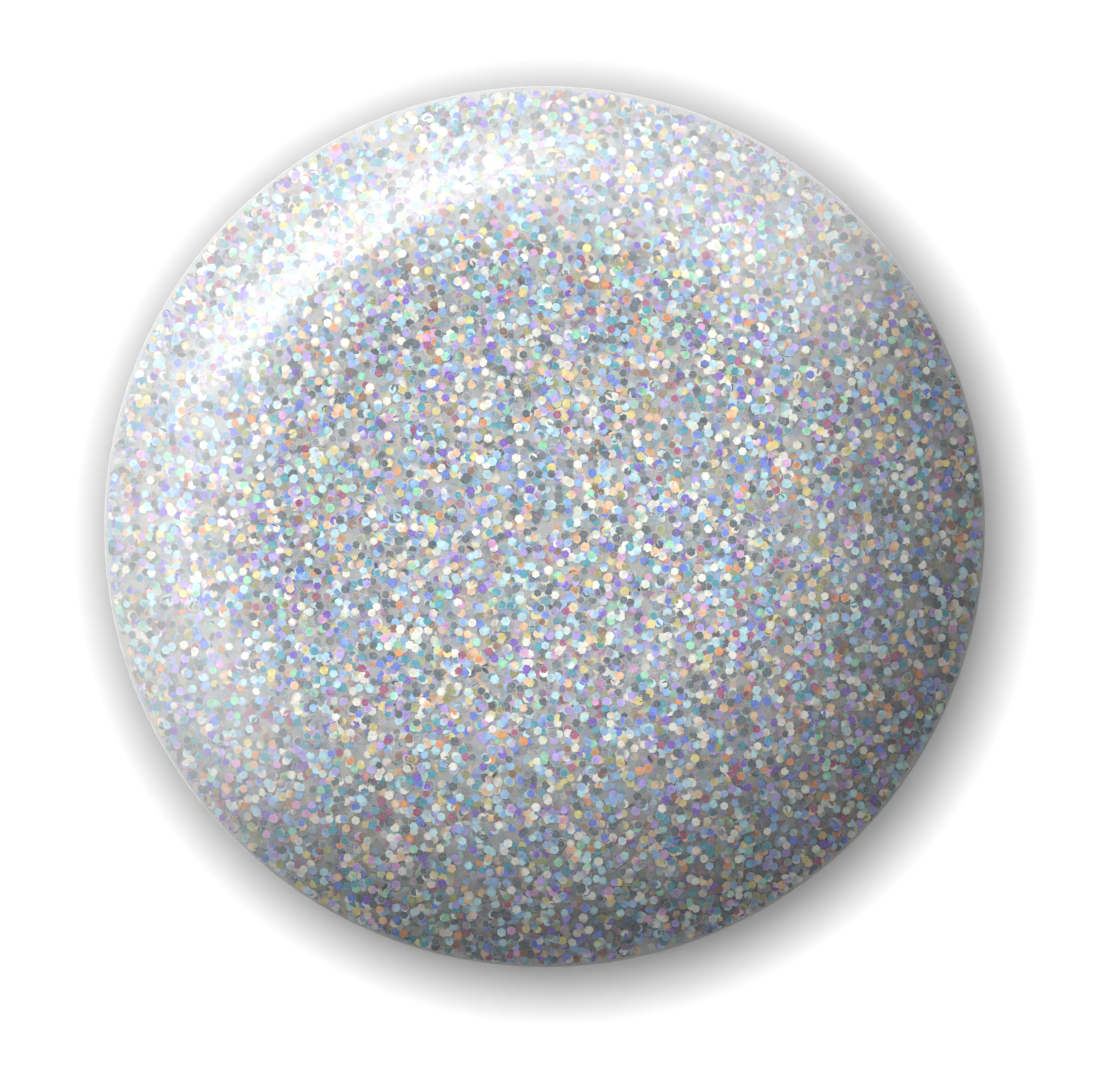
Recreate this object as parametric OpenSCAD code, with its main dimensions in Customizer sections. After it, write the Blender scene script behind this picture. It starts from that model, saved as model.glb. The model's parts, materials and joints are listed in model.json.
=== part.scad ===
// Round nail polish bottle. A brush hangs from a screw cap inside the glass, a drawn metal
// outer cap pulls off the screw cap, and a domed drop of the bottle's own glitter polish,
// cured under a clear top coat, covers the outer cap's flat top as the colour sample.
// Millimetres, +Z up, origin at the centre of the base.

/* [Bottle] */
// Outer diameter of the glass body
body_d = 25.6; // [25:0.1:28]
// Height of the glass body, from the base to the flat of the shoulder
body_h = 37; // [34:0.5:44]
// Thickness of the glass side wall
glass_wall = 2.2; // [1.8:0.1:2.8]
// Thickness of the glass under the polish
floor_t = 5; // [3:0.5:6]
// Height of the neck above the shoulder
neck_h = 11.5; // [11:0.1:13]
// Diameter of the neck between the threads
neck_d = 11.4; // [11:0.1:11.6]
// Diameter of the neck over its thread
thread_d = 12.9; // [12.6:0.1:13]
// Diameter of the hole through the neck
mouth_d = 7.2; // [7:0.1:7.6]
// Rise of the thread in one turn
thread_pitch = 2.12; // [2:0.01:2.2]
// Height of the polish above the base
fill_h = 31; // [26:0.5:32]

/* [Brush] */
// Gap between the tip of the brush and the glass floor
tip_gap = 2.5; // [2:0.5:5]
// Free length of the bristles
bristle_l = 15.5; // [13:0.5:17]
// Width of the flat brush near its tip
brush_w = 5.2; // [4:0.1:5.6]
// Thickness of the flat brush near its tip
brush_t = 2.6; // [2:0.1:3.2]
// Diameter of the stem where the bristles leave it
stem_tip_d = 3; // [2.8:0.1:3.2]
// Diameter of the stem under the screw cap
stem_top_d = 3.5; // [3.3:0.1:3.7]

/* [Screw cap] */
// Outer diameter of the screw cap between its grip ribs
inner_cap_d = 16; // [15.8:0.1:16.4]
// Height of the screw cap
inner_cap_h = 17.8; // [17:0.1:19]
// Number of grip ribs round the screw cap
rib_count = 30; // [24:6:36]
// Thickness of the sealing washer
washer_t = 0.9; // [0.6:0.1:1.2]
// Thickness of the solvent-proof foil between the washer and the lip
foil_t = 0.2; // [0.1:0.05:0.25]

/* [Outer cap] */
// Outer diameter of the drawn metal shell
shell_d = 25.8; // [25.8:0.1:28]
// Wall thickness of the drawn metal shell
shell_wall = 0.6; // [0.5:0.1:0.8]
// Gap between the shell's lower edge and the shoulder
shell_gap = 0.5; // [0.3:0.1:1]
// Thickness of the steel weight
weight_t = 4.2; // [3:0.1:5]

/* [Sample dome] */
// Outer diameter of the dome's clear top coat
dome_d = 26; // [26:0.1:28]
// Height of the dome above the plate it is cast on
dome_h = 4.6; // [4:0.1:5.5]
// Thickness of the clear top coat at the crown
coat_t = 0.4; // [0.3:0.05:0.6]
// Thickness of the acrylic plate
plate_t = 1; // [0.8:0.1:1.5]

/* [Mixing balls] */
// Diameter of each steel ball
ball_d = 4; // [3.5:0.1:4.2]

/* [Hidden] */
$fn = 96;
over = 1;                                   // how far a cutter runs past a face

// glass
body_r = body_d / 2;
heel_r = 1.6;
shoulder_r = 2.2;
cavity_r = body_r - glass_wall;
cavity_fillet = 2.5;
cavity_top = body_h - 2.6;
cavity_shoulder = 4;
neck_top = body_h + neck_h;
lip_r = 0.5;
punt_r = 9.2;
punt_h = 0.7;
label_r = 8.4;
label_t = 0.12;

// thread: two turns on the neck, with the cap's thread between them
thread_turns = 2;
thread_top_gap = 1.7;                       // from the lip to the middle of the thread's end
thread_foot = 1.3;                          // width of the ridge at its root
thread_crest = 0.6;                         // width of the ridge at its crest
thread_bury = 0.2;                          // depth that the ridge is sunk into its wall
thread_fade = 0.08;                         // share of the length over which an end runs out
thread_steps = 24;                          // rings in one turn
crest_clearance = 0.15;                     // between the cap's crest and the neck's wall

// brush
tip_z = floor_t + tip_gap;
stem_end_z = tip_z + bristle_l;
stem_head_r = 2.2;
stem_head_h = 5;
anchor_r = 1.15;
anchor_h = 4.4;
staple_w = 2;
staple_t = 0.35;
staple_h = 0.9;
fill_hole_r = 3.3;

// screw cap
inner_cap_r = inner_cap_d / 2;
inner_cap_z = body_h + 1.2;
inner_cap_top = inner_cap_z + inner_cap_h;
cap_thread_r = thread_d / 2 + 0.65;
washer_r = 6.3;
washer_hole_r = stem_top_d / 2 + 0.2;
foil_r = neck_d / 2 - 0.5;
foil_hole_r = stem_top_d / 2 + 0.05;
cap_ceiling = neck_top + foil_t + washer_t;
rib_h = 0.3;
rib_w = 0.6;

// outer cap
shell_r = shell_d / 2;
shell_z = body_h + shell_gap;
sleeve_r = shell_r - shell_wall;
sleeve_wall = 1;
sleeve_bore_r = inner_cap_r + rib_h + 0.2;
sleeve_floor_z = inner_cap_top + 0.4;
sleeve_floor_t = 1.2;
weight_z = sleeve_floor_z + sleeve_floor_t;
weight_gap = 0.1;
shell_ceiling = weight_z + weight_t + 0.2;
shell_top = shell_ceiling + 0.8;
web_count = 8;
web_t = 0.8;
spline_count = 6;
spline_w = 0.5;
spline_h = 0.35;

// sample
tape_t = 0.15;
tape_r = sleeve_r;
plate_z = shell_top + tape_t;
plate_r = shell_r;
dome_z = plate_z + plate_t;
dome_r = dome_d / 2;
gel_r = dome_r - 0.25;
gel_h = dome_h - coat_t;

// mixing balls: they roll round the glass in its lower corner
ball_r = ball_d / 2;
ball_clear = 0.1;
ball_path_r = cavity_r - ball_r - 0.45;
ball_z = floor_t + ball_r + 0.05;

// Radius of the sphere whose cap has this rim radius and height
function cap_sphere_r(rim, height) = (rim * rim + height * height) / (2 * height);

// Height share of a thread ridge, which runs out at both ends
function run_out(t) = max(0.08, min(1, t / thread_fade, (1 - t) / thread_fade));

// Half of a round column's profile, with its lower and upper outer edges rounded
module column_profile(r, low, high, low_fillet, high_fillet) {
    widest = max(low_fillet, high_fillet);
    translate([0, low]) square([r - widest, high - low]);
    translate([0, low + low_fillet]) square([r, high - low - low_fillet - high_fillet]);
    translate([0, low]) square([r - low_fillet, low_fillet]);
    translate([0, high - high_fillet]) square([r - high_fillet, high_fillet]);
    translate([r - low_fillet, low + low_fillet]) circle(low_fillet);
    translate([r - high_fillet, high - high_fillet]) circle(high_fillet);
}

// One helical ridge on a wall of radius root_r, standing out to crest_r, or in to it
module thread_ridge(root_r, crest_r, low_z, turns) {
    side = sign(crest_r - root_r);
    base_r = root_r - side * thread_bury;
    steps = ceil(turns * thread_steps);
    points = [
        for (i = [0:steps])
        let (t = i / steps, z = low_z + thread_pitch * turns * t)
        let (crest = base_r + (crest_r - base_r) * run_out(t))
        for (corner = [
            [base_r, -thread_foot / 2], [crest, -thread_crest / 2],
            [crest, thread_crest / 2], [base_r, thread_foot / 2]
        ])
        [corner.x * cos(360 * turns * t), corner.x * sin(360 * turns * t), z + corner.y]
    ];
    sides = [
        for (i = [0:steps - 1], k = [0:3])
        let (a = 4 * i + k, b = 4 * i + (k + 1) % 4)
        for (face = [[a, a + 4, b], [b, a + 4, b + 4]]) face
    ];
    ends = [[0, 1, 2], [0, 2, 3], for (f = [[0, 2, 1], [0, 3, 2]]) [for (v = f) v + 4 * steps]];
    faces = concat(sides, ends);
    polyhedron(points, side < 0 ? faces : [for (f = faces) [f[2], f[1], f[0]]]);
}

// The glass, moulded in one piece: heavy base, straight wall, square shoulder, threaded neck
module bottle_glass() {
    color([0.92, 0.96, 0.97, 0.35])
    difference() {
        union() {
            rotate_extrude() column_profile(body_r, 0, body_h, heel_r, shoulder_r);
            rotate_extrude() column_profile(neck_d / 2, body_h - over, neck_top, lip_r / 2, lip_r);
            thread_ridge(
                neck_d / 2, thread_d / 2,
                neck_top - thread_top_gap - thread_turns * thread_pitch, thread_turns
            );
        }
        rotate_extrude() polish_room(cavity_top);
        translate([0, 0, cavity_top - over]) cylinder(h = neck_top, r = mouth_d / 2);
        translate([0, 0, -over]) cylinder(h = punt_h + over, r = punt_r);
    }
}

// Half profile of the room inside the glass, up to a height
module polish_room(high) {
    intersection() {
        column_profile(cavity_r, floor_t, cavity_top, cavity_fillet, cavity_shoulder);
        square([body_r, high]);
    }
}

// The polish, with room for the brush and for the ring that the balls roll in
module polish_fill() {
    color([0.72, 0.76, 0.78])
    difference() {
        rotate_extrude() polish_room(fill_h);
        translate([0, 0, tip_z - 0.5]) cylinder(h = body_h, r = fill_hole_r);
        rotate_extrude() {
            translate([ball_path_r, ball_z]) circle(ball_r + ball_clear);
            translate([ball_path_r - ball_r / 2, floor_t - over]) square([ball_r, ball_r + over]);
        }
    }
}

// Round paper label in the recess under the glass
module base_label() {
    color([0.97, 0.97, 0.95])
    translate([0, 0, punt_h - label_t]) cylinder(h = label_t, r = label_r);
}

// One steel mixing ball on the glass floor, at an angle round the bottle
module mixing_ball(angle) {
    color([0.8, 0.8, 0.82])
    rotate(angle) translate([ball_path_r, 0, ball_z]) sphere(ball_r);
}

// Solvent-proof foil ring: it grips the stem lightly, and stays on the lip until the brush lifts
module seal_foil() {
    color([0.88, 0.9, 0.92])
    translate([0, 0, neck_top]) tube(foil_t, foil_r, foil_hole_r);
}

// Foam washer above the foil: the cap's thread holds it up in the cap, free to spin
module seal_washer() {
    color([0.95, 0.95, 0.93])
    translate([0, 0, neck_top + foil_t]) tube(washer_t, washer_r, washer_hole_r);
}

// Screw cap: ribbed outside, threaded inside, with a socket for the stem in its roof
module inner_cap() {
    color([0.1, 0.1, 0.11])
    difference() {
        union() {
            difference() {
                union() {
                    rotate_extrude()
                        column_profile(inner_cap_r, inner_cap_z, inner_cap_top, 0.3, 0.8);
                    for (i = [0:rib_count - 1])
                        rotate(360 * i / rib_count)
                        translate([inner_cap_r - 0.3, -rib_w / 2, inner_cap_z + 1])
                        cube([0.3 + rib_h, rib_w, inner_cap_h - 2.2]);
                }
                translate([0, 0, inner_cap_z - over])
                    cylinder(h = cap_ceiling - inner_cap_z + over, r = cap_thread_r);
            }
            thread_ridge(
                cap_thread_r, neck_d / 2 + crest_clearance,
                neck_top - thread_top_gap - (thread_turns - 0.5) * thread_pitch,
                thread_turns - 0.5
            );
        }
        translate([0, 0, cap_ceiling - over]) cylinder(h = stem_head_h + over, r = stem_head_r);
    }
}

// Moulded stem: a head pressed into the screw cap, a tapered shaft and a hole for the bristles
module brush_stem() {
    color([0.1, 0.1, 0.11])
    difference() {
        union() {
            translate([0, 0, cap_ceiling]) cylinder(h = stem_head_h, r = stem_head_r);
            translate([0, 0, stem_end_z])
                cylinder(h = cap_ceiling - stem_end_z, r1 = stem_tip_d / 2, r2 = stem_top_d / 2);
        }
        translate([0, 0, stem_end_z - over]) cylinder(h = anchor_h + over, r = anchor_r);
    }
}

// The bristles as one bundle: round in the stem, fanned flat below it, with a rounded tip
module bristles() {
    color([0.2, 0.2, 0.21])
    difference() {
        union() {
            translate([0, 0, stem_end_z - 0.5]) cylinder(h = anchor_h + 0.5, r = anchor_r);
            hull() {
                translate([0, 0, stem_end_z - 0.5]) cylinder(h = 0.4, r = anchor_r, $fn = 32);
                translate([0, 0, tip_z + brush_w / 2])
                    scale([brush_w, brush_t, brush_w] / 2) sphere(1, $fn = 32);
            }
        }
        staple_cube();
    }
}

// The flat wire that pins the folded bristles in the stem
module staple_cube() {
    translate([-staple_w / 2, -staple_t / 2, stem_end_z + anchor_h - staple_h - 0.3])
        cube([staple_w, staple_t, staple_h]);
}

module bristle_staple() {
    color([0.75, 0.73, 0.68]) staple_cube();
}

// Drawn metal shell, open below, with a flat top for the sample
module overcap_shell() {
    color([0.82, 0.83, 0.85])
    difference() {
        rotate_extrude() column_profile(shell_r, shell_z, shell_top, 0.2, 0.5);
        translate([0, 0, shell_z - over])
            cylinder(h = shell_ceiling - shell_z + over, r = sleeve_r);
    }
}

// Moulded sleeve inside the shell: its splines drop between the screw cap's ribs
module overcap_sleeve() {
    color([0.93, 0.93, 0.92])
    union() {
        translate([0, 0, shell_z + 0.7])
            tube(shell_ceiling - shell_z - 0.7, sleeve_r, sleeve_r - sleeve_wall);
        translate([0, 0, inner_cap_z + 1.5])
            tube(sleeve_floor_z - inner_cap_z - 1.4, sleeve_bore_r + sleeve_wall, sleeve_bore_r);
        translate([0, 0, sleeve_floor_z]) cylinder(h = sleeve_floor_t, r = sleeve_r - 0.5);
        for (i = [0:web_count - 1])
            rotate(360 * i / web_count)
            translate([sleeve_bore_r + 0.5, -web_t / 2, inner_cap_z + 4])
            cube([sleeve_r - sleeve_bore_r - 1, web_t, sleeve_floor_z - inner_cap_z - 3.9]);
        for (i = [0:spline_count - 1])
            rotate(360 * i / spline_count + 180 / rib_count)
            translate([sleeve_bore_r - spline_h, -spline_w / 2, inner_cap_z + 2])
            cube([spline_h + 0.3, spline_w, sleeve_floor_z - inner_cap_z - 1.9]);
    }
}

// A round tube standing on z = 0
module tube(h, r_out, r_in) {
    difference() {
        cylinder(h = h, r = r_out);
        translate([0, 0, -over]) cylinder(h = h + 2 * over, r = r_in);
    }
}

// Steel slug that gives the outer cap its weight
module cap_weight() {
    color([0.55, 0.56, 0.58])
    translate([0, 0, weight_z]) cylinder(h = weight_t, r = sleeve_r - sleeve_wall - weight_gap);
}

// Double-sided tape between the shell and the sample plate
module tape_pad() {
    color([0.9, 0.9, 0.88])
    translate([0, 0, shell_top]) cylinder(h = tape_t, r = tape_r - 0.3);
}

// Clear acrylic plate that the sample is cast on
module sample_plate() {
    color([0.9, 0.93, 0.95, 0.5])
    translate([0, 0, plate_z]) cylinder(h = plate_t, r = plate_r);
}

// Half profile of a low dome standing on the plate
module dome_profile(rim, height) {
    ball = cap_sphere_r(rim, height);
    intersection() {
        translate([0, height - ball]) circle(ball);
        square([rim, height]);
    }
}

// The domed drop of cured glitter polish
module sample_gel() {
    color([0.75, 0.78, 0.8])
    translate([0, 0, dome_z]) rotate_extrude() dome_profile(gel_r, gel_h);
}

// Clear top coat over the whole drop
module clear_topcoat() {
    color([0.95, 0.97, 1, 0.3])
    translate([0, 0, dome_z])
    rotate_extrude()
    difference() {
        dome_profile(dome_r, dome_h);
        dome_profile(gel_r, gel_h);
    }
}

bottle_glass();
polish_fill();
base_label();
mixing_ball(20);  // mixing_ball_1
mixing_ball(75);  // mixing_ball_2
seal_foil();
seal_washer();
inner_cap();
brush_stem();
bristles();
bristle_staple();
overcap_shell();
overcap_sleeve();
cap_weight();
tape_pad();
sample_plate();
sample_gel();
clear_topcoat();
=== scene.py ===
"""Round bottle of silver holographic nail polish with a domed sample of the polish on its cap."""

import json
import math

import bpy
import numpy as np
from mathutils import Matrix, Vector

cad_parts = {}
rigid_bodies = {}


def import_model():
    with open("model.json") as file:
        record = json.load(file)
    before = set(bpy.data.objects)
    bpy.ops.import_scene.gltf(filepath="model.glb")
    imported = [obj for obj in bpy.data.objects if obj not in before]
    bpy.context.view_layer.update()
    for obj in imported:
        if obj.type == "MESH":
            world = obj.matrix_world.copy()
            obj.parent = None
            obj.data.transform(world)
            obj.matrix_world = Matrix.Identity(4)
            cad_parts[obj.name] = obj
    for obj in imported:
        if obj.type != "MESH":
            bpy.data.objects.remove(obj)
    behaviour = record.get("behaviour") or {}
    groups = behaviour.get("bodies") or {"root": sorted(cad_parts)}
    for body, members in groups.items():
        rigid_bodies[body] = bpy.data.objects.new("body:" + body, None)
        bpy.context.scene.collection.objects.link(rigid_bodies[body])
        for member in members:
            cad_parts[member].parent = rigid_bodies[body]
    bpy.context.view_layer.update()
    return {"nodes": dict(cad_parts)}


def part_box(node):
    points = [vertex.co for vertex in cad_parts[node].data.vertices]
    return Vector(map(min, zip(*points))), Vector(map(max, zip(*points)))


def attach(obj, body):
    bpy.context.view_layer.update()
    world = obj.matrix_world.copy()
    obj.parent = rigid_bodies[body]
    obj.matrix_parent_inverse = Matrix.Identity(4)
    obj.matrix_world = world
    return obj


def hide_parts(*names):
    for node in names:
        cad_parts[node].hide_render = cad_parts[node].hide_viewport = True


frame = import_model()
nodes = frame["nodes"]
bpy.ops.object.select_all(action="DESELECT")

# The view. The bottle stands on a white table and is seen from straight above, through a long
# lens, so that the dome on its cap hides everything below it.
dome_low, dome_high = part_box("clear_topcoat")
DOME_R = (dome_high.x - dome_low.x) / 2
DOME_H = dome_high.z - dome_low.z
RIM_Z = dome_low.z
LENS = 1100
SENSOR = 36
VIEW_WIDTH = 2.515 * DOME_R
VIEW_X = 0.0215 * DOME_R
VIEW_Y = -0.0363 * DOME_R

bpy.ops.object.camera_add(
    location=(VIEW_X, VIEW_Y, RIM_Z + VIEW_WIDTH * LENS / SENSOR), rotation=(0, 0, 0)
)
camera = bpy.context.object
camera.data.lens = LENS
camera.data.sensor_width = SENSOR
camera.data.clip_start = 0.01
bpy.context.scene.camera = camera
bpy.context.scene.view_settings.view_transform = "Standard"

# The studio round it: plain soft light from all sides, a long softbox low on the left that
# draws the bright arc on the gloss, and a wide dim glow behind it.
LIGHT_AZIMUTH = math.radians(124)
AMBIENT = 0.395
BACKDROP = 0.9
ARC_FOOT = 0.47  # the softbox's foot, head and half width, in shares of its distance
ARC_HEAD = 0.67
ARC_HALF = 0.66
ARC_GLOW = 5.2
VEIL_AZIMUTH = math.radians(130)
VEIL_GLOW = 5.9


class Term:
    """A node's output that takes part in Python sums: each operator adds one Math node."""

    def __init__(self, socket):
        self.socket = socket

    def maths(self, operation, *others):
        tree = self.socket.id_data
        node = tree.nodes.new("ShaderNodeMath")
        node.operation = operation
        for place, term in enumerate((self, *others)):
            if isinstance(term, Term):
                tree.links.new(term.socket, node.inputs[place])
            else:
                node.inputs[place].default_value = term
        return Term(node.outputs[0])

    def __add__(self, other):
        return self.maths("ADD", other)

    def __sub__(self, other):
        return self.maths("SUBTRACT", other)

    def __mul__(self, other):
        return self.maths("MULTIPLY", other)

    def __truediv__(self, other):
        return self.maths("DIVIDE", other)

    def __rsub__(self, other):
        return self * -1 + other

    __radd__ = __add__
    __rmul__ = __mul__

    def above(self, edge, blur):
        """Runs smoothly from 0 to 1 as the term climbs through edge, over twice the blur."""
        tree = self.socket.id_data
        node = tree.nodes.new("ShaderNodeMapRange")
        node.interpolation_type = "SMOOTHSTEP"
        tree.links.new(self.socket, node.inputs["Value"])
        node.inputs["From Min"].default_value = edge - blur
        node.inputs["From Max"].default_value = edge + blur
        return Term(node.outputs["Result"])


class Tree:
    """A node tree that is built one call at a time."""

    def __init__(self, owner):
        owner.use_nodes = True
        self.tree = owner.node_tree
        self.tree.nodes.clear()

    def add(self, kind, settings=None, sockets=None, output=0):
        """Adds one node, with its settings first and then its sockets' values or links."""
        node = self.tree.nodes.new("ShaderNode" + kind)
        for name, value in (settings or {}).items():
            setattr(node, name, value)
        for name, value in (sockets or {}).items():
            if isinstance(value, Term):
                self.tree.links.new(value.socket, node.inputs[name])
            else:
                node.inputs[name].default_value = value
        return Term(node.outputs[output]) if node.outputs else node

    def ramp(self, value, stops):
        """Colours that change with a value: stops is a list of (place, colour)."""
        node = self.tree.nodes.new("ShaderNodeValToRGB")
        elements = node.color_ramp.elements
        while len(elements) < len(stops):
            elements.new(0.5)
        for element, (place, colour) in zip(elements, stops):
            element.position = place
            element.color = (*colour, 1)
        self.tree.links.new(value.socket, node.inputs[0])
        return Term(node.outputs[0])


world = bpy.data.worlds.new("studio")
bpy.context.scene.world = world
sky = Tree(world)
way = sky.add("TexCoord", output="Generated")


def along(x, y, z):
    return sky.add(
        "VectorMath", {"operation": "DOT_PRODUCT"}, {0: way, 1: (x, y, z)}, output="Value"
    )


to_light = along(math.cos(LIGHT_AZIMUTH), math.sin(LIGHT_AZIMUTH), 0)
across = along(-math.sin(LIGHT_AZIMUTH), math.cos(LIGHT_AZIMUTH), 0)
up = along(0, 0, 1)
ahead = to_light.maths("MAXIMUM", 0.02)
height = up / ahead
side = (across / ahead).maths("ABSOLUTE")
arc = height.above(ARC_FOOT, 0.13) * (1 - height.above(ARC_HEAD, 0.045))
arc = arc * (1 - side.above(ARC_HALF, 0.3)) * to_light.above(0.05, 0.05)
level = (1 - up * up).maths("SQRT").maths("MAXIMUM", 0.05)
veil = (along(math.cos(VEIL_AZIMUTH), math.sin(VEIL_AZIMUTH), 0) / level).above(-0.05, 0.3)
veil = veil * (1 - up.above(0.6, 0.16)) * up.above(0.12, 0.12)
# Both glows show only in the gloss. The backdrop that the eye sees has a level of its own.
mirrored = sky.add("LightPath", output="Is Glossy Ray")
glow = (arc * ARC_GLOW + veil * VEIL_GLOW) * mirrored + AMBIENT
seen = sky.add("LightPath", output="Is Camera Ray")
strength = glow * (1 - seen) + seen * BACKDROP
background = sky.add("Background", sockets={"Color": (1, 1, 1, 1), "Strength": strength})
sky.add("OutputWorld", sockets={"Surface": background})

# The table: a plain white sheet. A round lamp high above it lights only the sheet, and gives
# the bottle its close soft shadow.
TABLE = 4
LAMP = (-0.0032, 0.0036, 0.64)
LAMP_SIZE = 0.027


class Finish(Tree):
    """A material whose patterns lie on Object coordinates."""

    def __init__(self, name):
        self.material = bpy.data.materials.new(name)
        super().__init__(self.material)
        self.place = self.add("TexCoord", output="Object")

    def noise(self, size, detail=2, stretch=(1, 1, 1)):
        """Cloudy pattern whose lumps are about size metres across."""
        where = self.add("Mapping", sockets={"Vector": self.place, "Scale": stretch})
        return self.add(
            "TexNoise", sockets={"Vector": where, "Scale": 1 / size, "Detail": detail}, output=0
        )

    def mix(self, factor, a, b):
        """Colour between a and b, which are colours or links."""
        sockets = {0: factor, 6: a, 7: b}
        sockets = {
            k: (*v, 1) if isinstance(v, tuple) and len(v) == 3 else v for k, v in sockets.items()
        }
        return self.add("Mix", {"data_type": "RGBA"}, sockets, output=2)

    def bump(self, height, depth, strength=1):
        return self.add(
            "Bump", sockets={"Height": height, "Distance": depth, "Strength": strength}
        )

    def principled(self, **sockets):
        return self.add(
            "BsdfPrincipled", sockets={k.replace("_", " "): v for k, v in sockets.items()}
        )

    def finish(self, shader, *objects):
        self.add("OutputMaterial", sockets={"Surface": shader})
        for thing in objects:
            thing.data.materials.clear()
            thing.data.materials.append(self.material)
        return self.material


bpy.ops.mesh.primitive_plane_add(size=TABLE, location=(0, 0, 0))
floor = bpy.context.object
floor.name = "table"
sheet = Finish("white_table")
fibres = sheet.noise(0.02)
sheet.finish(
    sheet.principled(
        Base_Color=sheet.mix(fibres, (0.5, 0.5, 0.5), (0.52, 0.52, 0.52)), Roughness=0.7
    ),
    floor,
)

bpy.ops.object.light_add(type="AREA", location=LAMP)
overhead = bpy.context.object
overhead.name = "overhead"
overhead.data.shape = "DISK"
overhead.data.size = LAMP_SIZE
overhead.data.energy = 7.1
overhead.visible_camera = False
lit = bpy.data.collections.new("lit_by_overhead")
lit.objects.link(floor)
overhead.light_linking.receiver_collection = lit

# The flakes: hexagons cut from 0.25 mm holographic film, thrown into the gel in thousands.
# Each one lies nearly flat and sinks into the milk of the gel the deeper it lies. The colour
# of the rainbow that it throws back, bright or dark, is painted in: a painted reflection.
FLAKE_R = 0.000141
WILD_SHARE = 0.06  # flakes that stand up on their edges
TWO_TONE_SHARE = 0.22  # flakes that turn from one colour to another across their width
# The next share is of flakes whose cut edge has a painted highlight: a pale outline in their base
# colour.
EDGE_GLINT_SHARE = 0.35  # flakes whose cut edge catches the light
FILM_CHROMA = 1.14
FILM_DARKEST = 0.02
FILM_LIGHTEST = 0.74
SEED = 7
rng = np.random.default_rng(SEED)
MILK = (0.37, 0.37, 0.36)
# Film hues with their reflection painted in: the near-whites are painted sparkle, and the dark
# slates and greys are painted shade of flakes turned away from the light.
FILM_AND_GLINTS = {  # colour: (share near the surface, share deep in the gel)
    (0.64, 0.63, 0.57): (15, 3),
    (0.40, 0.58, 0.63): (10, 4),
    (0.26, 0.40, 0.60): (8, 5),
    (0.63, 0.44, 0.30): (6, 3),
    (0.58, 0.51, 0.24): (3, 4),
    (0.27, 0.54, 0.38): (3, 3),
    (0.38, 0.31, 0.60): (5, 5),
    (0.55, 0.32, 0.50): (2, 2),
    (0.15, 0.21, 0.54): (4, 3),
    (0.20, 0.13, 0.42): (4, 4),
    (0.10, 0.28, 0.34): (6, 10),
    (0.12, 0.14, 0.155): (16, 12),
    (0.31, 0.12, 0.19): (2, 5),
    (0.24, 0.15, 0.11): (2, 5),
    (0.25, 0.27, 0.28): (8, 18),
    (0.28, 0.28, 0.14): (3, 7),
    (0.57, 0.27, 0.14): (2, 2),
}
film = np.array(list(FILM_AND_GLINTS))
shares = np.array(list(FILM_AND_GLINTS.values()), float)
shares /= shares.sum(0)

bpy.ops.mesh.primitive_circle_add(vertices=6, radius=1, fill_type="NGON")
pattern = bpy.context.object
HEXAGON = np.array([(0, 0)] + [v.co[:2] for v in pattern.data.vertices])
bpy.data.objects.remove(pattern)


def turned_flakes(centres, outward, lean, wild_share=WILD_SHARE):
    """Points of one flake at each centre, leaning off the outward direction at random."""
    count = len(centres)
    lean_by = np.abs(rng.normal(0, lean, count))
    wild = rng.random(count) < wild_share
    lean_by[wild] = rng.uniform(0.5, 1.25, wild.sum())
    drift = rng.normal(size=(count, 3))
    drift -= (drift * outward).sum(1)[:, None] * outward
    drift /= np.linalg.norm(drift, axis=1)[:, None]
    facing_way = outward * np.cos(lean_by)[:, None] + drift * np.sin(lean_by)[:, None]
    side_a = np.cross(drift, facing_way)
    side_a /= np.linalg.norm(side_a, axis=1)[:, None]
    side_b = np.cross(facing_way, side_a)
    spin = rng.uniform(0, 2 * math.pi, count)
    cos, sin = np.cos(spin)[:, None], np.sin(spin)[:, None]
    side_a, side_b = side_a * cos + side_b * sin, side_b * cos - side_a * sin
    size = FLAKE_R * rng.uniform(0.88, 1.04, count)
    flat = size[:, None, None] * HEXAGON[None]
    return centres[:, None] + flat[..., :1] * side_a[:, None] + flat[..., 1:] * side_b[:, None]


def film_and_glint_colours(count, depth, haze):
    """A painted reflection per point: one film, or two that meet across the flake, dimmed by
    depth.
    """
    deep = np.clip(depth, 0, 1)
    pick = np.array(
        [
            rng.choice(len(film), 2, p=shares[:, 0] * (1 - d) + shares[:, 1] * d)
            for d in np.round(deep, 1)
        ]
    )
    first, second = film[pick[:, 0]], film[pick[:, 1]]
    two = (rng.random(count) < TWO_TONE_SHARE)[:, None, None]
    turn = rng.uniform(0, 2 * math.pi, count)
    ramp = HEXAGON @ np.stack([np.cos(turn), np.sin(turn)])
    ramp = np.clip(ramp.T * 0.9 + 0.35, 0, 1)[..., None]
    colour = np.where(two, first[:, None] * (1 - ramp) + second[:, None] * ramp, first[:, None])
    colour = colour * rng.uniform(0.86, 1.1, (count, 1, 1))
    # Each corner is made lighter or darker at random: painted light and shade on the facets of a
    # crinkled flake.
    crease_light_and_shade = rng.normal(1, 0.13, (count, 7, 1)) + rng.normal(0, 0.05, (count, 7, 3))
    colour = colour * crease_light_and_shade
    grey = colour.mean(2, keepdims=True)
    colour = np.clip(grey + (colour - grey) * FILM_CHROMA, FILM_DARKEST, FILM_LIGHTEST)
    milk = haze * (0.12 + 0.88 * deep)[:, None, None]
    return colour * (1 - milk) + np.array(MILK) * milk


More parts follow.
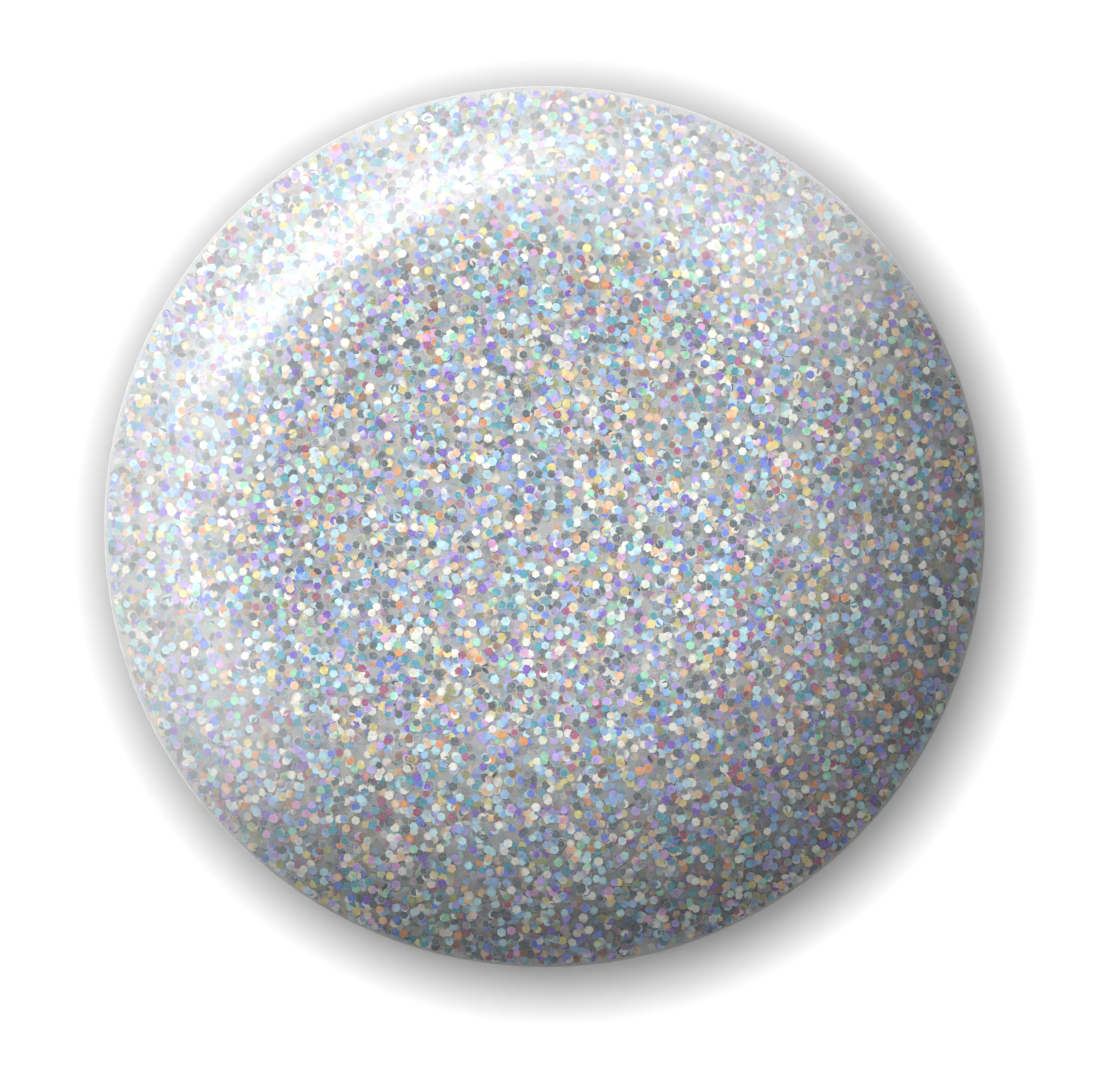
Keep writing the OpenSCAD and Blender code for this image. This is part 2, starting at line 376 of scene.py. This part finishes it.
def flake_piece(name, corners, colours, finish, body):
    """One mesh of many flakes, each a fan of six triangles, with its film's colours."""
    count = len(corners)
    fan = np.array([(0, i, i % 6 + 1) for i in range(1, 7)])
    faces = (np.arange(count)[:, None, None] * 7 + fan).reshape(-1, 3)
    mesh = bpy.data.meshes.new(name)
    mesh.from_pydata(corners.reshape(-1, 3).tolist(), [], faces.tolist())
    layer = mesh.attributes.new("film", "FLOAT_COLOR", "POINT")
    rgba = np.ones((count * 7, 4), np.float32)
    rgba[:, :3] = colours.reshape(-1, 3)
    layer.data.foreach_set("color", rgba.ravel())
    # The edge value marks the painted highlight: 1 on the rim points of flakes whose cut edge is
    # painted pale, 0.8 on the rim of the rest, 0 at the centre.
    edge = np.zeros((count, 7), np.float32)
    edge[:, 1:] = np.where(rng.random(count) < EDGE_GLINT_SHARE, 1.0, 0.8)[:, None]
    mesh.attributes.new("edge", "FLOAT", "POINT").data.foreach_set("value", edge.ravel())
    piece = bpy.data.objects.new(name, mesh)
    bpy.context.scene.collection.objects.link(piece)
    mesh.materials.append(finish)
    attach(piece, body)


flake_film = Finish("holographic_film")
own_colour = flake_film.add("Attribute", {"attribute_name": "film"}, output="Color")
edge = flake_film.add("Attribute", {"attribute_name": "edge"}, output="Fac")
# The film's crinkles are painted: paler grey where they would catch the light, near black where
# they would fall in shade. This is painted sheen and painted shade.
crinkle_light_and_shade = flake_film.noise(0.00005, 3)
tone = flake_film.mix(crinkle_light_and_shade.above(0.6, 0.12) * 0.28, own_colour, (0.48, 0.5, 0.5))
tone = flake_film.mix((1 - crinkle_light_and_shade.above(0.4, 0.1)) * 0.22, tone, (0.12, 0.13, 0.15))
# Where the edge value is 1, the base colour turns pale towards the rim: a painted highlight on
# the flake's cut edge.
sheen = flake_film.principled(
    Base_Color=flake_film.mix(edge.above(0.9, 0.04) * 0.6, tone, (0.6, 0.61, 0.61)),
    Roughness=0.35,
    Specular_IOR_Level=0.2,
)
thin = flake_film.add("LightPath", output="Is Shadow Ray") * 0.8
flake_film.finish(
    flake_film.add(
        "MixShader", sockets={0: thin, 1: sheen, 2: flake_film.add("BsdfTransparent")}
    )
)

# The sample: a drop of the bottle's own polish, cast in a dome on the cap's plate. Its body is
# a milky gel, and the flakes lie between the milk and the clear coat over it.
MILK_DEPTH = 0.00055
THIN_SHARE = 0.3
RIM_GAP = 0.00003
FLAKE_RIM_GAP = 0.00004
FLAKE_SKIN_GAP = 0.00003
SETTLED = 0.5  # how level the flakes lie: 0 is along the dome, 1 is flat


def cap_height(radius, rim, rise):
    """Height of a dome of that rim radius and rise, at a radius."""
    ball = (rim * rim + rise * rise) / (2 * rise)
    return np.sqrt(np.maximum(ball * ball - radius * radius, 0)) - ball + rise


def milk_height(radius):
    """Height of the milk: a set depth below the coat, or a share of the dome near the rim."""
    full = cap_height(radius, DOME_R, DOME_H)
    return np.maximum(full - MILK_DEPTH, full * THIN_SHARE)


def dome_solid(name, rim, rings, around=128):
    """A closed dome that stands on the plate, shaped from a disc that is domed and capped."""
    bpy.ops.mesh.primitive_circle_add(
        vertices=around, radius=rim, fill_type="TRIFAN", location=(0, 0, 0)
    )
    dome = bpy.context.object
    dome.name = name
    bpy.ops.object.mode_set(mode="EDIT")
    bpy.ops.mesh.select_all(action="SELECT")
    bpy.ops.mesh.subdivide(number_cuts=rings - 1)
    bpy.ops.mesh.select_all(action="SELECT")
    bpy.ops.mesh.extrude_region_move(TRANSFORM_OT_translate={"value": (0, 0, 0.0005)})
    bpy.ops.object.mode_set(mode="OBJECT")
    for vertex in dome.data.vertices:
        top = vertex.co.z > 0.0002
        lift = float(milk_height(math.hypot(vertex.co.x, vertex.co.y))) if top else 0
        vertex.co.z = RIM_Z + lift
    bpy.ops.object.mode_set(mode="EDIT")
    bpy.ops.mesh.select_all(action="SELECT")
    bpy.ops.mesh.normals_make_consistent(inside=False)
    bpy.ops.object.mode_set(mode="OBJECT")
    bpy.ops.object.shade_smooth_by_angle(angle=math.radians(40))
    bpy.ops.object.select_all(action="DESELECT")
    return dome


milk = dome_solid("sample_milk", DOME_R - RIM_GAP, rings=16)


def milky(name, *things):
    """Milky lacquer, cloudy, with the blurred shapes of flakes that have sunk into it."""
    gel = Finish(name)
    cells = gel.add(
        "TexVoronoi", sockets={"Vector": gel.place, "Scale": 1 / 0.00024}, output="Color"
    )
    pick = gel.add("SeparateColor", sockets={"Color": cells})
    sunk = gel.ramp(
        pick,
        [
            (0.0, (0.22, 0.23, 0.24)),
            (0.22, (0.40, 0.40, 0.39)),
            (0.45, (0.30, 0.35, 0.42)),
            (0.62, (0.42, 0.42, 0.40)),
            (0.8, (0.40, 0.34, 0.30)),
            (1.0, (0.27, 0.34, 0.34)),
        ],
    )
    cloud = gel.noise(0.0007, 3)
    plain = gel.mix(cloud.above(0.5, 0.2), (0.38, 0.38, 0.37), (0.44, 0.44, 0.43))
    return gel.finish(
        gel.principled(Base_Color=gel.mix(0.45, plain, sunk), Roughness=0.5), *things
    )


milky("milky_gel", milk)
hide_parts("sample_gel")
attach(milk, "outer_cap")


def round_the_axis(around, reach, z):
    """Points, each at its own angle, distance from the axis and height."""
    return np.stack([reach * np.cos(around), reach * np.sin(around), z], 1)


def dome_flakes(name, count, near, far, lean, haze):
    """Flakes that fill the gel between two shares of its depth, from the coat to the milk."""
    rim = DOME_R - FLAKE_RIM_GAP
    radius = rim * np.sqrt(rng.random(count))
    radius = np.minimum(radius, rim - 0.00015 * rng.uniform(1, 1.3, count))
    around = rng.uniform(0, 2 * math.pi, count)
    depth = rng.uniform(near, far, count)
    skin = cap_height(radius, rim, DOME_H) - FLAKE_SKIN_GAP
    floor_z = milk_height(radius)
    z = skin + (floor_z - skin) * depth
    centres = round_the_axis(around, radius, z)
    ball = (rim * rim + DOME_H * DOME_H) / (2 * DOME_H)
    outward = centres - np.array([0, 0, DOME_H - ball])
    outward /= np.linalg.norm(outward, axis=1)[:, None]
    outward = outward * (1 - SETTLED) + np.array([0, 0, SETTLED])
    outward /= np.linalg.norm(outward, axis=1)[:, None]
    order = np.argsort(depth)
    centres, outward, depth = centres[order], outward[order], depth[order]
    corners = turned_flakes(centres, outward, lean)
    # A flake with a corner through the coat or the plate is moved back in, and one that still
    # breaks the coat or the rim is left out.
    spread = np.hypot(corners[..., 0], corners[..., 1])
    over = corners[..., 2] - cap_height(np.minimum(spread, DOME_R), DOME_R, DOME_H) + 0.000015
    corners -= np.maximum(over, 0).max(1)[:, None, None] * outward[:, None]
    corners[..., 2] += np.maximum(0.00001 - corners[..., 2].min(1), 0)[:, None]
    spread = np.hypot(corners[..., 0], corners[..., 1])
    over = corners[..., 2] - cap_height(np.minimum(spread, DOME_R), DOME_R, DOME_H)
    keep = (spread.max(1) < DOME_R - 0.00001) & (over.max(1) < -0.000004)
    corners = corners[keep] + np.array([0, 0, RIM_Z])
    colours = film_and_glint_colours(len(corners), depth[keep], haze)
    flake_piece(name, corners, colours, flake_film.material, "outer_cap")


dome_flakes("sample_flakes_top", 6200, 0.0, 0.12, 0.09, 0.1)
dome_flakes("sample_flakes_mid", 8500, 0.12, 0.5, 0.15, 0.42)
dome_flakes("sample_flakes_low", 9000, 0.5, 0.95, 0.22, 0.75)


# The clear top coat over the sample: hard, glossy and colourless. It is drawn as a skin that
# lets everything through except what its gloss throws back.
def clear_skin(name, ior, gloss_roughness, *things):
    skin = Finish(name)
    gloss = skin.add(
        "BsdfGlossy", sockets={"Color": (1, 1, 1, 1), "Roughness": gloss_roughness}
    )
    through = skin.add("BsdfTransparent")
    outside = 1 - skin.add("NewGeometry", output="Backfacing")
    share = skin.add("Fresnel", sockets={"IOR": ior}) * outside
    return skin.finish(
        skin.add("MixShader", sockets={0: share, 1: through, 2: gloss}), *things
    )


clear_skin("clear_top_coat", 1.52, 0.045, nodes["clear_topcoat"])


# The sample's plate: a disc of clear acrylic, held on the cap by a disc of double-sided tape.
# Gel covers its top and tape its underside, so only its edge shows, and the tape through it.
clear_skin("acrylic", 1.49, 0.05, nodes["sample_plate"])

tape = Finish("foam_tape")
tape.finish(
    tape.principled(
        Base_Color=tape.mix(tape.noise(0.0004, 3), (0.74, 0.74, 0.7), (0.84, 0.84, 0.81)),
        Roughness=0.8,
        Normal=tape.bump(tape.noise(0.00015, 3), 0.00003),
    ),
    nodes["tape_pad"],
)

# The outer cap: a deep-drawn aluminium shell, brushed round its side and anodised clear, over
# a white moulded sleeve that grips the screw cap's ribs, with a steel slug between the two.
satin = Finish("satin_aluminium")
lines = satin.noise(0.0016, 5, stretch=(1, 1, 55))
drift = satin.noise(0.008, 2, stretch=(1, 1, 0.4))
satin.finish(
    satin.principled(
        Base_Color=satin.mix(lines, (0.40, 0.41, 0.43), (0.62, 0.63, 0.65)),
        Metallic=1.0,
        Roughness=0.24 + lines * 0.12 + drift * 0.08,
        Normal=satin.bump(lines, 0.00001, 0.5),
    ),
    nodes["overcap_shell"],
)


def moulding(name, low, high, roughness, grain, *things):
    """Injection-moulded plastic with the fine texture of a spark-eroded mould."""
    plastic = Finish(name)
    texture = plastic.noise(grain, 3)
    flow = plastic.noise(0.006, 2)
    return plastic.finish(
        plastic.principled(
            Base_Color=plastic.mix(flow, low, high),
            Roughness=texture * 0.2 + roughness,
            Normal=plastic.bump(texture, 0.00002, 0.6),
        ),
        *things,
    )


moulding("white_moulding", (0.78, 0.78, 0.76), (0.83, 0.83, 0.81), 0.35, 0.0003,
         nodes["overcap_sleeve"])


def metal(name, low, high, roughness, grain, depth, *things):
    """Bare or plated metal with fine scratches or dents."""
    sheet_metal = Finish(name)
    marks = sheet_metal.noise(grain, 4)
    return sheet_metal.finish(
        sheet_metal.principled(
            Base_Color=sheet_metal.mix(marks, low, high),
            Metallic=1.0,
            Roughness=marks * 0.15 + roughness,
            Normal=sheet_metal.bump(marks, depth, 0.6),
        ),
        *things,
    )


metal("plated_steel", (0.46, 0.47, 0.48), (0.58, 0.59, 0.6), 0.28, 0.0011, 0.00002,
      nodes["cap_weight"])

# The screw cap: black polypropylene with thirty ribs, a thread inside, and the stem pressed
# into its roof. Its stem is moulded in the same black.
moulding("black_moulding", (0.012, 0.012, 0.013), (0.02, 0.02, 0.021), 0.3, 0.00025,
         nodes["inner_cap"], nodes["brush_stem"])

# The seal: a foam washer that stays up in the cap, and a ring of foil-faced film on the lip.
foam = Finish("seal_foam")
bubbles = foam.add(
    "TexVoronoi", sockets={"Vector": foam.place, "Scale": 1 / 0.0002}, output="Distance"
)
foam.finish(
    foam.principled(
        Base_Color=foam.mix(bubbles, (0.86, 0.86, 0.83), (0.7, 0.7, 0.67)),
        Roughness=0.85,
        Normal=foam.bump(bubbles, 0.00004),
    ),
    nodes["seal_washer"],
)
metal("foil", (0.8, 0.81, 0.82), (0.9, 0.9, 0.91), 0.16, 0.0005, 0.00003, nodes["seal_foil"])

# The brush: a bundle of nylon filaments, folded over a flat wire that pins it in the stem. The
# filaments leave the stem in a round bundle and fan out flat, and their tips are cut round.
FILAMENTS = 300
FILAMENT_R = 0.000056
brush_low, brush_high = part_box("bristles")
stem_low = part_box("brush_stem")[0]
FAN_W = (brush_high.x - brush_low.x) / 2 - FILAMENT_R
FAN_T = (brush_high.y - brush_low.y) / 2 - FILAMENT_R
ROOT_R = 0.00105
ROOT_TUCK = 0.0003
GOLDEN_ANGLE = 2.39996

bpy.ops.mesh.primitive_circle_add(vertices=6, radius=FILAMENT_R, location=(0, 0, 0))
filament = bpy.context.object
bpy.ops.object.mode_set(mode="EDIT")
bpy.ops.mesh.select_all(action="SELECT")
for _ in range(8):
    bpy.ops.mesh.extrude_region_move(TRANSFORM_OT_translate={"value": (0, 0, 0.125)})
bpy.ops.mesh.extrude_region_move(TRANSFORM_OT_translate={"value": (0, 0, 0.002)})
bpy.ops.transform.resize(value=(0.4, 0.4, 1))
bpy.ops.mesh.edge_face_add()
bpy.ops.mesh.select_all(action="SELECT")
bpy.ops.mesh.normals_make_consistent(inside=False)
bpy.ops.object.mode_set(mode="OBJECT")
straight = np.array([v.co[:] for v in filament.data.vertices])
facets = [list(polygon.vertices) for polygon in filament.data.polygons]
bpy.data.objects.remove(filament)

bundle_points, bundle_faces = [], []
root_z = brush_high.z - ROOT_TUCK
for index in range(FILAMENTS):
    out = math.sqrt((index + 0.5) / FILAMENTS)
    turn = index * GOLDEN_ANGLE
    ux, uy = out * math.cos(turn), out * math.sin(turn)
    arch = 0.55 * (FAN_W * (1 - math.sqrt(max(1 - min(abs(ux), 1) ** 2, 0))))
    tip_z = brush_low.z + 0.00002 + arch + abs(rng.normal(0, 0.00012))
    along_it = np.clip(straight[:, 2], 0, 1)
    z = root_z + (tip_z - root_z) * straight[:, 2]
    free = np.clip((stem_low.z - z) / (stem_low.z - brush_low.z), 0, 1)
    fan = free ** 0.8
    waver = rng.normal(0, 0.00006, 2)
    x = ux * (ROOT_R * (1 - fan) + FAN_W * 0.965 * fan) + waver[0] * free * along_it
    y = uy * (ROOT_R * (1 - fan) + FAN_T * 0.94 * fan) + waver[1] * free * along_it
    start = index * len(straight)
    bundle_points += np.stack(
        [
            np.clip(straight[:, 0] + x, brush_low.x, brush_high.x),
            np.clip(straight[:, 1] + y, brush_low.y, brush_high.y),
            np.maximum(z, brush_low.z),
        ],
        1,
    ).tolist()
    bundle_faces += [[start + corner for corner in facet] for facet in facets]
bundle_mesh = bpy.data.meshes.new("filaments")
bundle_mesh.from_pydata(bundle_points, [], bundle_faces)
bundle = bpy.data.objects.new("filaments", bundle_mesh)
bpy.context.scene.collection.objects.link(bundle)
for polygon in bundle_mesh.polygons:
    polygon.use_smooth = True
nylon = Finish("nylon_filament")
nylon.finish(
    nylon.principled(
        Base_Color=nylon.mix(nylon.noise(0.0005), (0.02, 0.02, 0.022), (0.06, 0.06, 0.065)),
        Roughness=0.3,
    ),
    bundle,
)
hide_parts("bristles")
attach(bundle, "screw_cap")
metal("brass_wire", (0.62, 0.55, 0.4), (0.72, 0.65, 0.5), 0.2, 0.0004, 0.00001,
      nodes["bristle_staple"])

# The bottle: clear soda-lime glass, thick in the floor, with two turns of thread on its neck.
# The lacquer bends light as much as the glass does, so where it wets the inner wall the glass
# has no visible surface, and the polish seems to fill the bottle to its outer wall.
fill_low, fill_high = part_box("polish_fill")
FILL_R = fill_high.x
glass = Finish("clear_glass")
clear = glass.principled(
    Base_Color=(0.985, 0.992, 0.99, 1), Roughness=0.01, IOR=1.5, Transmission_Weight=1.0
)
spot_on = glass.add("SeparateXYZ", sockets={"Vector": glass.place})
spot_x, spot_y, spot_z = (Term(spot_on.socket.node.outputs[axis]) for axis in range(3))
from_axis = (spot_x * spot_x + spot_y * spot_y).maths("SQRT")
wet = from_axis.maths("LESS_THAN", FILL_R + 0.0003) * spot_z.maths("LESS_THAN", fill_high.z)
wet = wet * spot_z.maths("GREATER_THAN", fill_low.z - 0.0003)
open_way = wet.maths("MAXIMUM", glass.add("LightPath", output="Is Shadow Ray"))
glass.finish(
    glass.add(
        "MixShader", sockets={0: open_way, 1: clear, 2: glass.add("BsdfTransparent")}
    ),
    nodes["bottle_glass"],
)

# The polish in the bottle: the same flakes in clear lacquer. Against the glass they lie flat,
# and behind them the lacquer is milky with drowned flakes. A room is left open for the brush,
# and a ring at the foot for the mixing balls.
ball_low, ball_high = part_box("mixing_ball_1")
BALL_R = (ball_high.z - ball_low.z) / 2
BALL_PATH = math.hypot((ball_low.x + ball_high.x) / 2, (ball_low.y + ball_high.y) / 2)
BALL_Z = (ball_low.z + ball_high.z) / 2
ROOM_R = 0.0033
SHOULDER = 0.0004
BODY_R = FILL_R - 0.00034
HEEL = 0.0025
HEEL_GAP = 0.00012
WALL_GAP = 0.00026

outline = [(ROOM_R, fill_high.z - 0.0001), (ROOM_R, brush_low.z - 0.0005)]
outline += [(0.0001, brush_low.z - 0.0005), (0.0001, fill_low.z + 0.0001)]
ring = BALL_R + 0.0001
for degrees in range(225, -26, -10):
    outline.append(
        (
            BALL_PATH + ring * math.cos(math.radians(degrees)),
            BALL_Z + ring * math.sin(math.radians(degrees)),
        )
    )
for degrees in range(-35, 1, 5):
    outline.append(
        (
            FILL_R - HEEL + (HEEL - HEEL_GAP) * math.cos(math.radians(degrees)),
            fill_low.z + HEEL + (HEEL - HEEL_GAP) * math.sin(math.radians(degrees)),
        )
    )
outline += [(BODY_R, fill_low.z + HEEL + 0.00004), (BODY_R, fill_high.z - SHOULDER)]
outline += [(BODY_R - 0.0002, fill_high.z - 0.00015), (BODY_R - 0.0008, fill_high.z - 0.0001)]
body_mesh = bpy.data.meshes.new("polish_body")
body_mesh.from_pydata(
    [(r, 0, z) for r, z in outline],
    [(i, (i + 1) % len(outline)) for i in range(len(outline))],
    [],
)
polish = bpy.data.objects.new("polish_body", body_mesh)
bpy.context.scene.collection.objects.link(polish)
bpy.context.view_layer.objects.active = polish
polish.select_set(True)
bpy.ops.object.mode_set(mode="EDIT")
bpy.ops.mesh.select_all(action="SELECT")
bpy.ops.mesh.spin(steps=96, angle=2 * math.pi, center=(0, 0, 0), axis=(0, 0, 1))
bpy.ops.mesh.select_all(action="SELECT")
bpy.ops.mesh.remove_doubles(threshold=0.000002)
bpy.ops.mesh.normals_make_consistent(inside=False)
bpy.ops.object.mode_set(mode="OBJECT")
bpy.ops.object.shade_smooth_by_angle(angle=math.radians(35))
bpy.ops.object.select_all(action="DESELECT")
milky("milky_polish", polish)
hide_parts("polish_fill")
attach(polish, "bottle")


def wall_flakes(name, count, near, far, haze):
    """Flakes that lie against the glass wall, between two shares of the gap to the milk."""
    low, high = fill_low.z + HEEL + 0.0001, fill_high.z - 0.0003
    around = rng.uniform(0, 2 * math.pi, count)
    depth = rng.uniform(near, far, count)
    radius = FILL_R - 0.00005 - depth * WALL_GAP
    z = rng.uniform(low, high, count)
    ray = round_the_axis(around, 1, np.zeros(count))
    centres = ray * radius[:, None] + np.array([0, 0, 1]) * z[:, None]
    order = np.argsort(depth)
    corners = turned_flakes(centres[order], ray[order], 0.13, 0)
    spread = np.hypot(corners[..., 0], corners[..., 1]).max(1)
    shrink = np.minimum(1, (FILL_R - 0.00001) / spread)[:, None]
    corners[..., 0] *= shrink
    corners[..., 1] *= shrink
    colours = film_and_glint_colours(count, depth[order], haze)
    flake_piece(name, corners, colours, flake_film.material, "bottle")


wall_flakes("polish_flakes_a", 6800, 0.0, 0.4, 0.2)
wall_flakes("polish_flakes_b", 6800, 0.0, 0.4, 0.2)
wall_flakes("polish_flakes_c", 6800, 0.4, 0.8, 0.5)
wall_flakes("polish_flakes_d", 6800, 0.4, 0.8, 0.5)

# Where the glass curves in at the foot of the polish, and on its floor and its surface, the
# flakes lie flat too.
FOOT_FLAKES = 6200
FLOOR_FLAKES = 6200
SURFACE_FLAKES = 5600
UPRIGHT = np.array([0.0, 0.0, 1.0])


def polish_flakes(name, corners, far, haze):
    """Flakes in the bottle, coloured as if they lay up to that share of the way to the milk."""
    count = len(corners)
    colours = film_and_glint_colours(count, rng.uniform(0, far, count), haze)
    flake_piece(name, corners, colours, flake_film.material, "bottle")


around = rng.uniform(0, 2 * math.pi, FOOT_FLAKES)
slope = -rng.uniform(0.0, 0.95, FOOT_FLAKES)
ray = round_the_axis(around, 1, np.zeros(FOOT_FLAKES))
heel_way = ray * np.cos(slope)[:, None] + UPRIGHT * np.sin(slope)[:, None]
heel_centre = ray * (FILL_R - HEEL) + np.array([0, 0, fill_low.z + HEEL])
heel_depth = rng.uniform(0.00003, 0.00008, FOOT_FLAKES)[:, None]
corners = turned_flakes(heel_centre + heel_way * (HEEL - heel_depth), heel_way, 0.04, 0)
polish_flakes("polish_flakes_foot", corners, 0.4, 0.2)

around = rng.uniform(0, 2 * math.pi, FLOOR_FLAKES)
reach = np.sqrt(rng.uniform(0, (FILL_R - HEEL + 0.0004) ** 2, FLOOR_FLAKES))
lift = fill_low.z + rng.uniform(0.00001, 0.00003, FLOOR_FLAKES)
centres = round_the_axis(around, reach, lift)
corners = turned_flakes(centres, np.tile(UPRIGHT, (FLOOR_FLAKES, 1)), 0.03, 0)
corners[..., 2] = np.maximum(corners[..., 2], fill_low.z + 0.000004)
polish_flakes("polish_flakes_floor", corners, 0.5, 0.3)

around = rng.uniform(0, 2 * math.pi, SURFACE_FLAKES)
reach = np.sqrt(rng.uniform((ROOM_R + 0.0002) ** 2, (BODY_R - 0.0003) ** 2, SURFACE_FLAKES))
centres = round_the_axis(around, reach, np.full(SURFACE_FLAKES, fill_high.z - 0.00006))
corners = turned_flakes(centres, np.tile(UPRIGHT, (SURFACE_FLAKES, 1)), 0.1, 0)
corners[..., 2] = np.minimum(corners[..., 2], fill_high.z - 0.00001)
polish_flakes("polish_flakes_surface", corners, 0.6, 0.3)

# The mixing balls: two steel bearing balls, ground and polished. They lie loose on the floor of
# the bottle, and stir the polish when it is shaken.
metal("ball_steel", (0.66, 0.66, 0.68), (0.74, 0.74, 0.75), 0.05, 0.002, 0.000002,
      nodes["mixing_ball_1"], nodes["mixing_ball_2"])

# The label: a disc of blank coated paper, stuck in the recess under the glass, where the table
# can't rub it.
paper = Finish("paper")
pulp = paper.noise(0.0004, 4)
paper.finish(
    paper.principled(
        Base_Color=paper.mix(pulp, (0.82, 0.81, 0.78), (0.88, 0.87, 0.85)),
        Roughness=0.75,
        Normal=paper.bump(pulp, 0.00002),
    ),
    nodes["base_label"],
)

# The dome's own lamp stands nearly overhead and throws a round patch with a soft edge, a little
# to the upper left, so that the dome falls into shade at its lower right. It misses the table.
SPOT_REACH = 0.6
SPOT_R = 1.05 * DOME_R
SPOT_SHIFT = 0.27 * DOME_R
SPOT_AZIMUTH = math.radians(127)
SPOT_TILT = 0.12
patch_way = Vector((math.cos(SPOT_AZIMUTH), math.sin(SPOT_AZIMUTH), 0))
patch = Vector((0, 0, RIM_Z + DOME_H / 2)) + patch_way * SPOT_SHIFT
away = (Vector((0, 0, 1)) + patch_way * SPOT_TILT).normalized()
bpy.ops.object.light_add(type="SPOT", location=patch + away * SPOT_REACH)
dome_lamp = bpy.context.object
dome_lamp.name = "dome_lamp"
dome_lamp.rotation_euler = (-away).to_track_quat("-Z", "Y").to_euler()
dome_lamp.data.spot_size = 2 * math.atan(SPOT_R / SPOT_REACH)
dome_lamp.data.spot_blend = 0.42
dome_lamp.data.energy = 17.2
dome_lamp.data.shadow_soft_size = 0.004
dome_lamp.visible_glossy = False
dome_lamp.visible_camera = False
not_the_table = bpy.data.collections.new("not_the_table")
dome_lamp.light_linking.receiver_collection = not_the_table

# Three large soft lamps round the bottle light its side. They miss the dome and the table, so
# the view from above keeps its own light.
below_the_dome = bpy.data.collections.new("below_the_dome")
for thing in bpy.context.scene.objects:
    if thing.type == "MESH" and thing is not floor:
        not_the_table.objects.link(thing)
        top = max((thing.matrix_world @ Vector(corner)).z for corner in thing.bound_box)
        if top < RIM_Z + 0.0001:
            below_the_dome.objects.link(thing)
for azimuth, power in ((205, 1.5), (330, 1.1), (80, 1.1)):
    bpy.ops.object.light_add(
        type="SUN", rotation=(math.radians(68), 0, math.radians(azimuth + 90))
    )
    lamp = bpy.context.object
    lamp.name = f"side_lamp_{azimuth}"
    lamp.data.energy = power
    lamp.data.angle = 0.5
    lamp.light_linking.receiver_collection = below_the_dome
